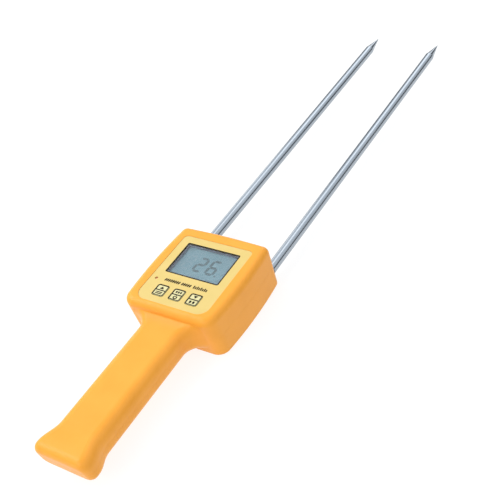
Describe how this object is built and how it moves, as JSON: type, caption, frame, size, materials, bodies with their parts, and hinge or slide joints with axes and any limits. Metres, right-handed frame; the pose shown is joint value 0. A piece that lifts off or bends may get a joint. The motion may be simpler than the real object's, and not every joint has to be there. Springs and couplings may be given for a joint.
{
  "type": "grain moisture meter",
  "caption": "Hand-held grain moisture meter: moulded handled head with display and keys, and two long pointed steel probes that push into a grain heap.",
  "frame": {"origin": "centre of the head's flat back face, which the meter lies on", "axes": "+X to the right of the display, +Y along the probes towards their points, +Z out of the display"},
  "size_m": [0.0768, 0.5233, 0.0375],
  "materials": {
    "casing": "satin moulded ABS, yellow-orange",
    "faceplate": "printed polyester film, pale yellow",
    "window": "clear acrylic",
    "lcd": "liquid crystal cell, grey-blue",
    "frame_plastic": "moulded, off-white",
    "elastomer": "silicone strip",
    "board": "green solder mask",
    "chip": "moulded epoxy, black",
    "led": "red epoxy lens",
    "switch_plastic": "moulded, black",
    "battery_jacket": "printed steel jacket, dark",
    "terminal": "plated",
    "lead_red": "PVC insulation, red",
    "lead_black": "PVC insulation, black",
    "screw_steel": "zinc-plated",
    "key": "printed film over a moulded key",
    "probe_steel": "ground and polished stainless steel",
    "bushing": "turned insulating plastic",
    "brass": "rolled strip"
  },
  "bodies": {
    "casing": {"front_shell": "casing", "rear_shell": "casing", "faceplate": "faceplate", "display_window": "window", "lcd_glass": "lcd", "lcd_frame": "frame_plastic", "zebra_strips": "elastomer", "main_board": "board", "controller_chip": "chip", "board_components": "chip", "indicator_led": "led", "tact_switches": "switch_plastic", "battery": "battery_jacket", "battery_terminals": "terminal", "battery_snap": "switch_plastic", "battery_lead_red": "lead_red", "battery_lead_black": "lead_black", "strap_screws": "screw_steel", "case_screws": "screw_steel", "board_screws": "screw_steel", "probe_tube_left": "probe_steel", "probe_tip_left": "probe_steel", "probe_bushing_left": "bushing", "probe_strap_left": "brass", "probe_lead_left": "lead_black", "probe_tube_right": "probe_steel", "probe_tip_right": "probe_steel", "probe_bushing_right": "bushing", "probe_strap_right": "brass", "probe_lead_right": "lead_red"},
    "key_left": {"key_left": "key", "switch_stem_left": "switch_plastic"},
    "key_middle": {"key_middle": "key", "switch_stem_middle": "switch_plastic"},
    "key_right": {"key_right": "key", "switch_stem_right": "switch_plastic"},
    "battery_door": {"battery_door": "casing"}
  },
  "joints": [
    {"name": "key_left_press", "type": "slide", "parent": "casing", "child": "key_left", "axis": [0, 0, -1], "range_m": [0, 0.0005], "stiffness_N_per_m": 3000},
    {"name": "key_middle_press", "type": "slide", "parent": "casing", "child": "key_middle", "axis": [0, 0, -1], "range_m": [0, 0.0005], "stiffness_N_per_m": 3000},
    {"name": "key_right_press", "type": "slide", "parent": "casing", "child": "key_right", "axis": [0, 0, -1], "range_m": [0, 0.0005], "stiffness_N_per_m": 3000},
    {"name": "battery_door_slide", "type": "slide", "parent": "casing", "child": "battery_door", "axis": [0, -1, 0], "range_m": [0, 0.07]}
  ]
}
